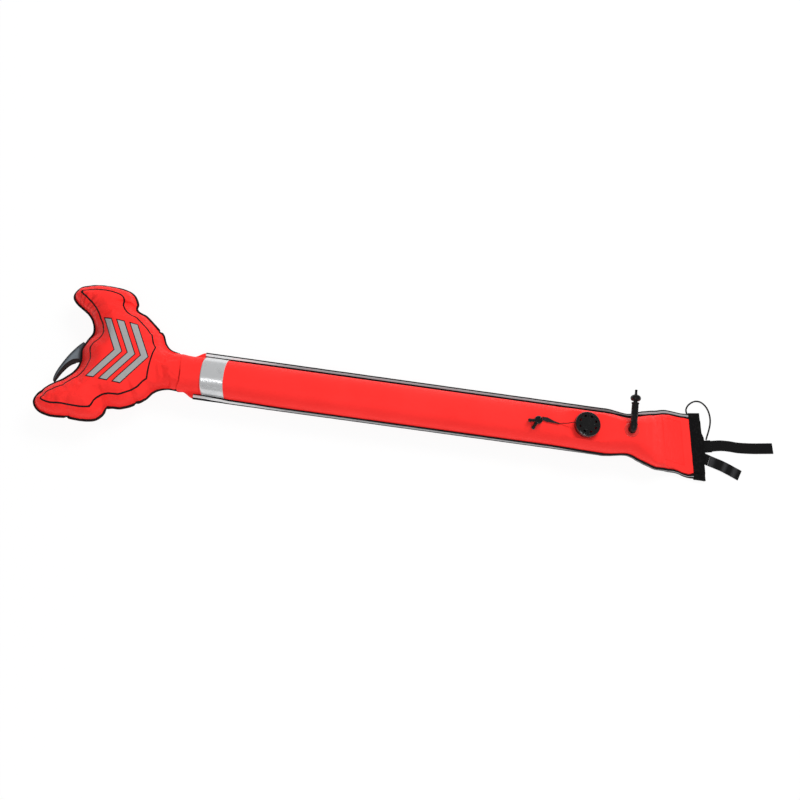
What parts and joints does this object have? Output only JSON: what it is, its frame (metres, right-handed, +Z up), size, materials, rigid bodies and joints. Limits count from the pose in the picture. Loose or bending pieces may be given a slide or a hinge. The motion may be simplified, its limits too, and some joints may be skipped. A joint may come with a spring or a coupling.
{
  "type": "surface marker buoy",
  "caption": "Inflatable diver's marker buoy: a welded red tube with a hammer-shaped head, relief valve, oral inflator and strapped open mouth.",
  "frame": {"origin": "on the underside of the mouth's lower lip band, on the tube's centreline, where the buoy lies on the floor", "axes": "+X from the head along the tube to the open mouth and its straps, +Y across the tube to the side the inflator points to, +Z up"},
  "size_m": [1.566, 0.298, 0.0964],
  "materials": {
    "red_fabric": "bright red coated nylon, satin",
    "black_fabric": "black woven binding tape",
    "webbing": "black ribbed webbing",
    "cord": "black braided cord",
    "reflective": "silver retroreflective film",
    "fin_fabric": "dark blue-grey fabric",
    "black_plastic": "glossy black moulded plastic",
    "red_plastic": "translucent red welded flange",
    "rubber": "black rubber",
    "spring_steel": "bright spring wire"
  },
  "bodies": {
    "buoy": {"tube_upper_panel": "red_fabric", "tube_lower_panel": "red_fabric", "neck_collar": "red_fabric", "duckbill_upper": "red_fabric", "duckbill_lower": "red_fabric", "seam_binding_left": "black_fabric", "seam_binding_right": "black_fabric", "mouth_band_upper": "black_fabric", "mouth_band_lower": "black_fabric", "reflective_piping_left_upper": "reflective", "reflective_piping_left_lower": "reflective", "reflective_piping_right_upper": "reflective", "reflective_piping_right_lower": "reflective", "reflective_tape_upper": "reflective", "reflective_tape_lower": "reflective", "valve_body": "black_plastic", "valve_clamp_nut": "black_plastic", "valve_cover": "black_plastic", "valve_gasket": "rubber", "valve_spring": "spring_steel", "pull_cord": "cord", "pull_sleeve": "webbing", "pull_toggle": "black_plastic", "inflator_flange": "red_plastic", "inflator_elbow": "black_plastic", "inflator_barrel": "black_plastic", "inflator_grip": "rubber", "inflator_spring": "spring_steel", "long_strap_tab": "webbing", "short_strap_tab": "webbing", "bungee_loop": "cord"},
    "head": {"head_upper_panel": "red_fabric", "head_lower_panel": "red_fabric", "head_edge_trim": "black_fabric", "fin": "fin_fabric"},
    "relief_disc": {"valve_disc": "rubber", "valve_stem": "spring_steel"},
    "mouthpiece": {"inflator_mouthpiece": "black_plastic", "inflator_poppet": "black_plastic", "inflator_seal": "rubber"},
    "long_strap": {"long_strap": "webbing"},
    "short_strap": {"short_strap": "webbing"}
  },
  "joints": [
    {"name": "neck_nod", "type": "hinge", "parent": "buoy", "child": "head", "pos_m": [-1.0868, 0, 0.0368], "axis": [0, 1, 0], "range_deg": [-15, 15], "stiffness_Nm_per_rad": 3, "deforming": ["neck_collar"]},
    {"name": "relief_valve_lift", "type": "slide", "parent": "buoy", "child": "relief_disc", "axis": [0, 0, 1], "range_m": [0, 0.002], "stiffness_N_per_m": 250, "deforming": ["valve_spring"]},
    {"name": "mouthpiece_push", "type": "slide", "parent": "buoy", "child": "mouthpiece", "axis": [0, -0.9962, -0.0872], "range_m": [0, 0.004], "stiffness_N_per_m": 250, "deforming": ["inflator_spring"]},
    {"name": "long_strap_fold", "type": "hinge", "parent": "buoy", "child": "long_strap", "pos_m": [0.03471, 0.01194, 0.00195], "axis": [0.1961, -0.9806, 0], "range_deg": [0, 90]},
    {"name": "short_strap_fold", "type": "hinge", "parent": "buoy", "child": "short_strap", "pos_m": [0.02971, -0.02141, 0.00195], "axis": [-0.2873, -0.9578, 0], "range_deg": [0, 90]}
  ]
}
